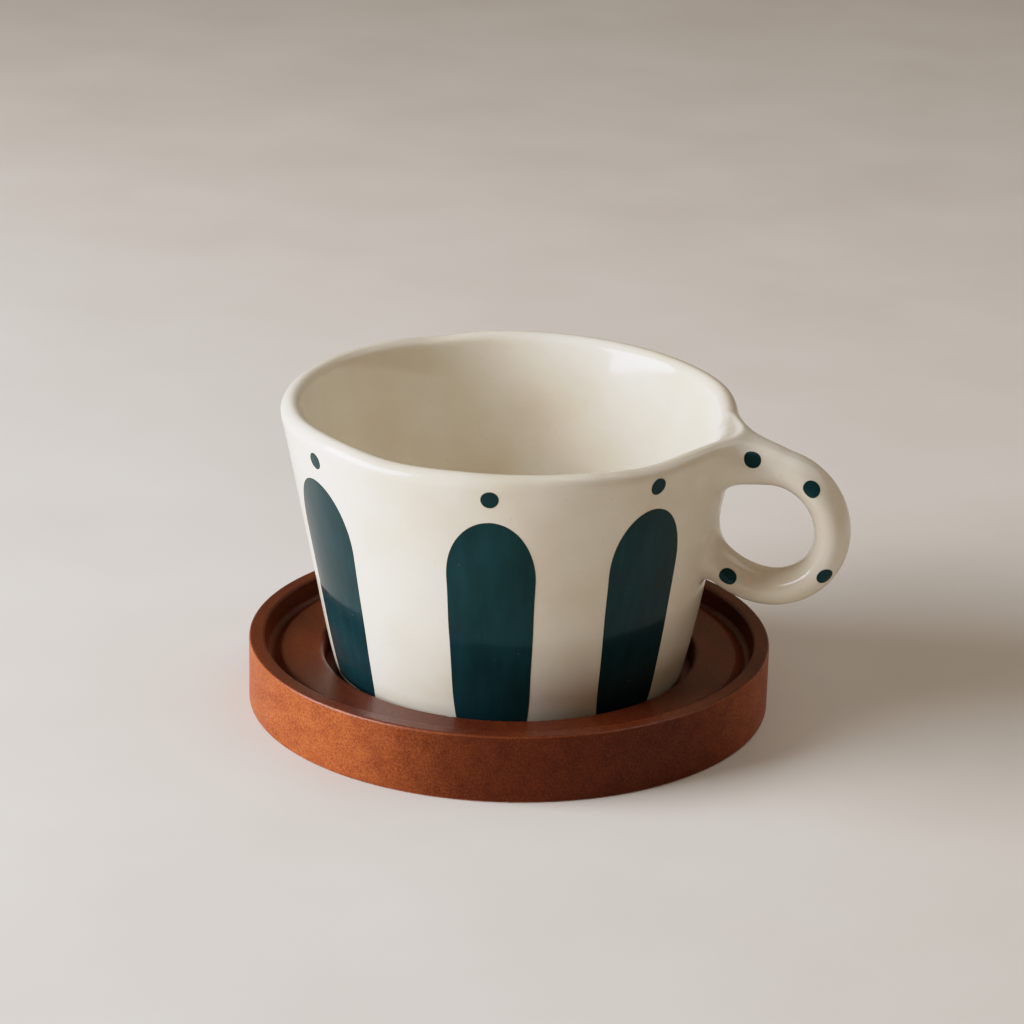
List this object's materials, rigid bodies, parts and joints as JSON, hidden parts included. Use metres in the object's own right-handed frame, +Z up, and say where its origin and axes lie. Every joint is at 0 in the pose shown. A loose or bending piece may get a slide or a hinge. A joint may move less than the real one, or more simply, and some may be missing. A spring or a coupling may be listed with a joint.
{
  "type": "stoneware mug",
  "caption": "Flared hand-pinched stoneware mug with a wavy rim, a ring handle and painted arches, standing in the well of a turned wooden saucer.",
  "frame": {"origin": "centre of the saucer's underside, on the table", "axes": "+Z up along the axis of the saucer and the mug, +X out of the mug through the ring handle"},
  "size_m": [0.1386, 0.12, 0.0728],
  "materials": {
    "cream_glaze": "gloss",
    "teal_underglaze": "gloss",
    "lacquered_wood": "satin"
  },
  "bodies": {
    "saucer": {"wood_saucer": "lacquered_wood"},
    "mug": {"cup_wall": "cream_glaze", "cup_floor": "cream_glaze", "ring_handle": "cream_glaze", "painted_arch_1": "teal_underglaze", "painted_arch_2": "teal_underglaze", "painted_arch_3": "teal_underglaze", "painted_arch_4": "teal_underglaze", "painted_arch_5": "teal_underglaze", "painted_arch_6": "teal_underglaze", "painted_arch_7": "teal_underglaze", "rim_dots": "teal_underglaze", "handle_dots": "teal_underglaze"}
  },
  "joints": [
    {"name": "mug_lift", "type": "slide", "parent": "saucer", "child": "mug", "axis": [0, 0, 1], "range_m": [0, 0.1]}
  ]
}
